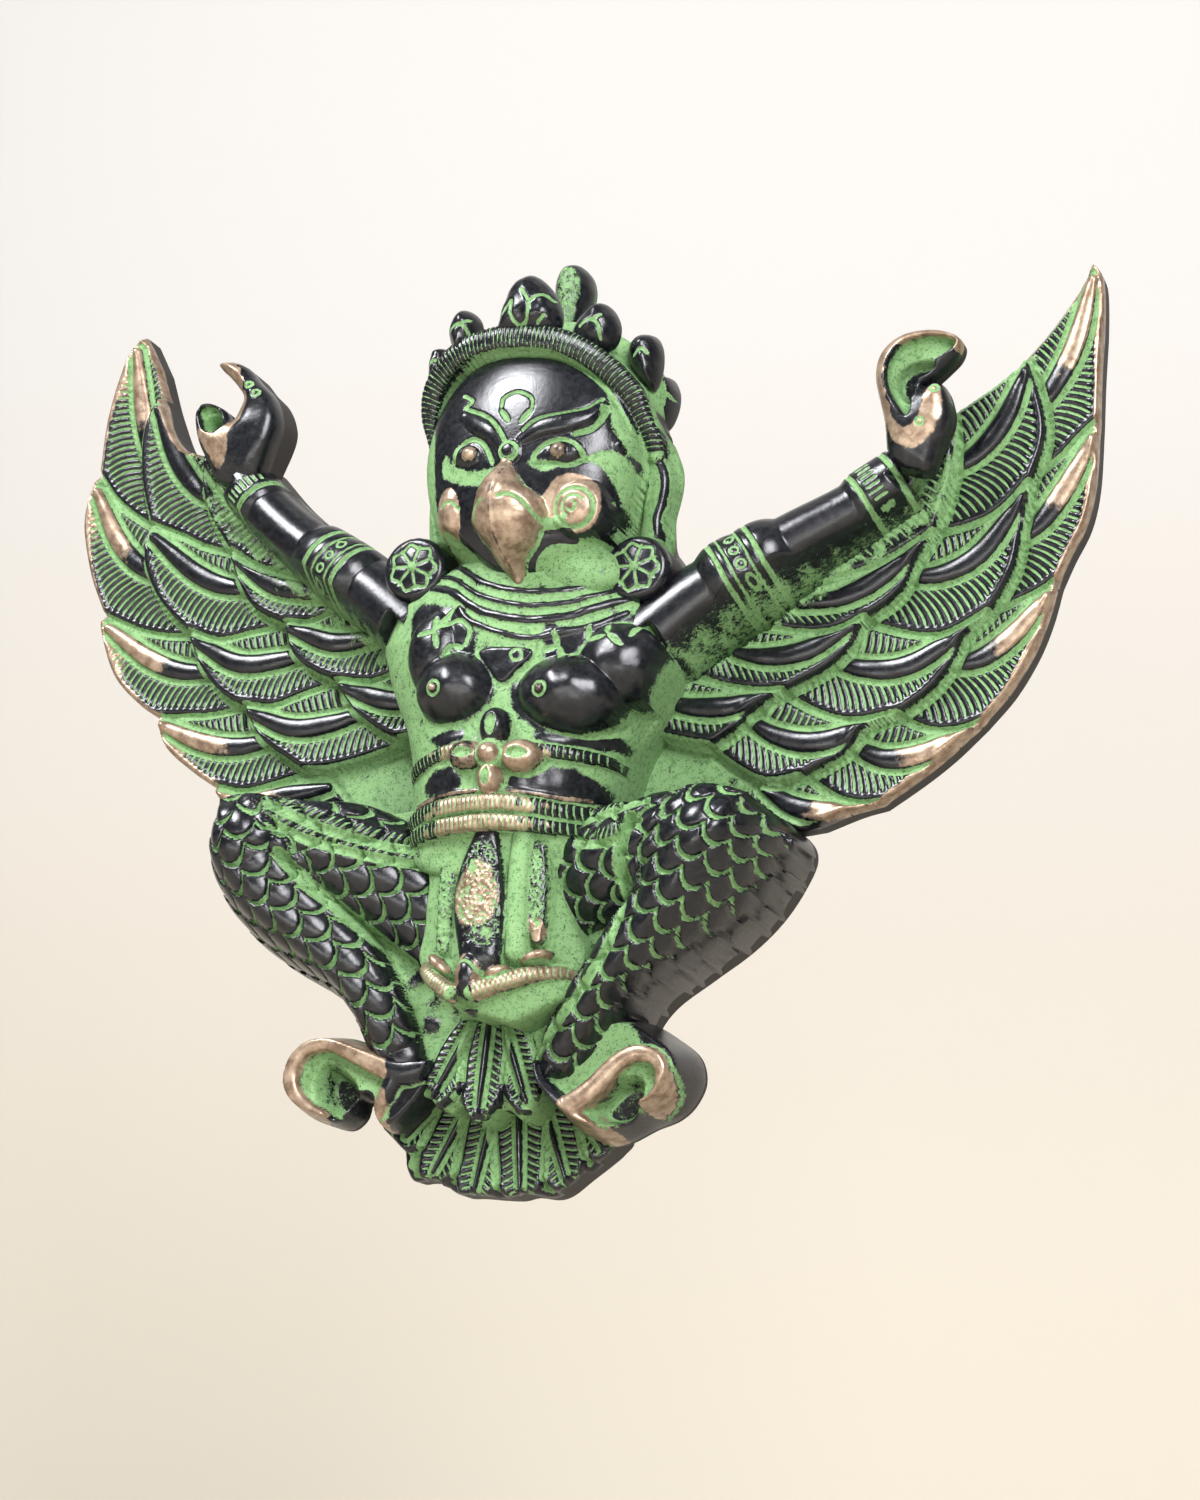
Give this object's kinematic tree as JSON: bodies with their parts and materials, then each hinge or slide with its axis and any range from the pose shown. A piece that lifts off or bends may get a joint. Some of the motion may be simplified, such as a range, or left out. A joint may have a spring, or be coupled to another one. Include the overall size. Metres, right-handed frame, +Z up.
{
  "type": "garuda figure",
  "caption": "Cast brass Garuda wall plaque: a man-bird with raised arms, spread wings, folded legs and a fan tail, flat at the back.",
  "frame": {"origin": "on the flat back, on the middle line, behind the neck", "axes": "+X to the viewer's right, +Y into the wall (the figure faces -Y), +Z up"},
  "size_m": [0.22, 0.0453, 0.1905],
  "materials": {
    "patinated_brass": "green patina in the carving, black on raised surfaces, bare brass on rims and tips"
  },
  "bodies": {
    "root": {"garuda": "patinated_brass"}
  },
  "joints": []
}
